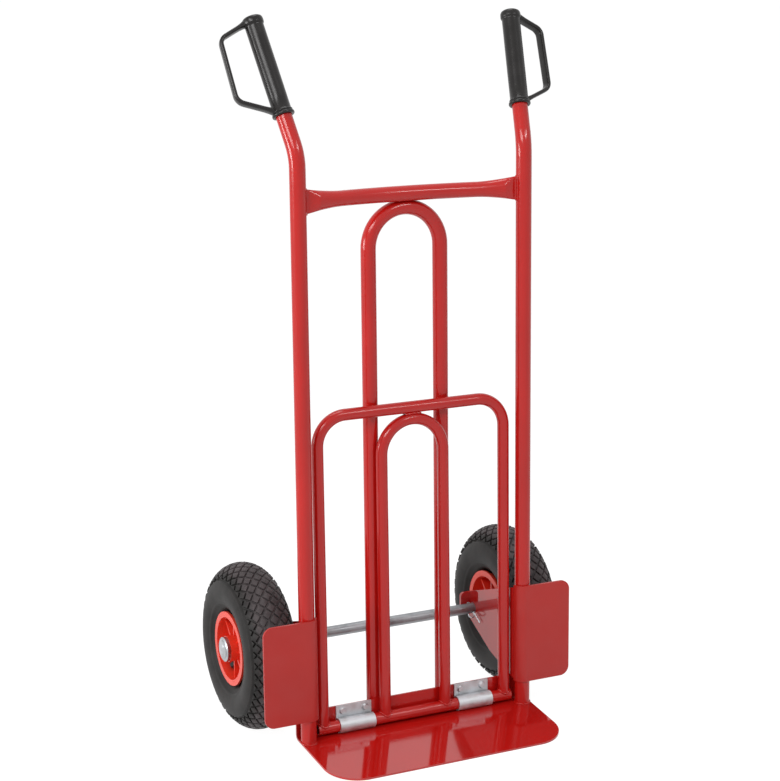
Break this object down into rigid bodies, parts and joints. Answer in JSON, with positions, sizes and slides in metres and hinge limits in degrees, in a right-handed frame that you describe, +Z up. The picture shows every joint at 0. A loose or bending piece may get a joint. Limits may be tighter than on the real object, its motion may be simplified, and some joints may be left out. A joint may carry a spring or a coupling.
{
  "type": "hand truck",
  "caption": "Upright tubular hand truck with pneumatic wheels, a bent toe plate, a folding toe extension and grips with knuckle guards.",
  "frame": {"origin": "on the floor, in the middle of the whole outline seen from above", "axes": "+Z up, -Y towards the tip of the toe plate, +X to the right seen from the toe plate's side"},
  "size_m": [0.5386, 0.3977, 1.09],
  "materials": {
    "red_powder_coat": "glossy powder coat",
    "rim_red": "glossy moulded plastic",
    "zinc_plate": "bright zinc plate",
    "bearing_steel": "ground steel",
    "grip_black": "moulded, low sheen",
    "tyre": "moulded rubber",
    "black_rubber": "matt"
  },
  "bodies": {
    "frame": {"left_upright": "red_powder_coat", "right_upright": "red_powder_coat", "upper_crossbar": "red_powder_coat", "back_arch": "red_powder_coat", "toe_plate": "red_powder_coat", "left_wheel_guard": "red_powder_coat", "right_wheel_guard": "red_powder_coat", "left_axle_bracket": "red_powder_coat", "right_axle_bracket": "red_powder_coat", "axle": "zinc_plate", "left_spacer": "zinc_plate", "right_spacer": "zinc_plate", "left_split_pin": "zinc_plate", "right_split_pin": "zinc_plate", "left_axle_cap": "zinc_plate", "right_axle_cap": "zinc_plate", "left_hinge_clip": "zinc_plate", "right_hinge_clip": "zinc_plate", "clip_bolts": "zinc_plate", "clip_nuts": "zinc_plate", "left_grip": "grip_black", "right_grip": "grip_black"},
    "left_wheel": {"left_outer_rim": "rim_red", "left_inner_rim": "rim_red", "left_rim_bolts": "zinc_plate", "left_tyre": "tyre", "left_inner_tube": "black_rubber", "left_valve": "black_rubber", "left_bearings": "bearing_steel", "left_bearing_sleeve": "bearing_steel"},
    "right_wheel": {"right_outer_rim": "rim_red", "right_inner_rim": "rim_red", "right_rim_bolts": "zinc_plate", "right_tyre": "tyre", "right_inner_tube": "black_rubber", "right_valve": "black_rubber", "right_bearings": "bearing_steel", "right_bearing_sleeve": "bearing_steel"},
    "toe_extension": {"fold_outer_tube": "red_powder_coat", "fold_inner_arch": "red_powder_coat", "fold_hinge_tube": "red_powder_coat", "hinge_tube_plugs": "grip_black"}
  },
  "joints": [
    {"name": "left_wheel_spin", "type": "hinge", "parent": "frame", "child": "left_wheel", "pos_m": [-0.225, 0.06888, 0.13], "axis": [1, 0, 0], "continuous": true},
    {"name": "right_wheel_spin", "type": "hinge", "parent": "frame", "child": "right_wheel", "pos_m": [0.225, 0.06888, 0.13], "axis": [1, 0, 0], "continuous": true},
    {"name": "toe_extension_fold", "type": "hinge", "parent": "frame", "child": "toe_extension", "pos_m": [0, -0.05558, 0.02666], "axis": [1, 0, 0], "range_deg": [0, 93.8]}
  ]
}
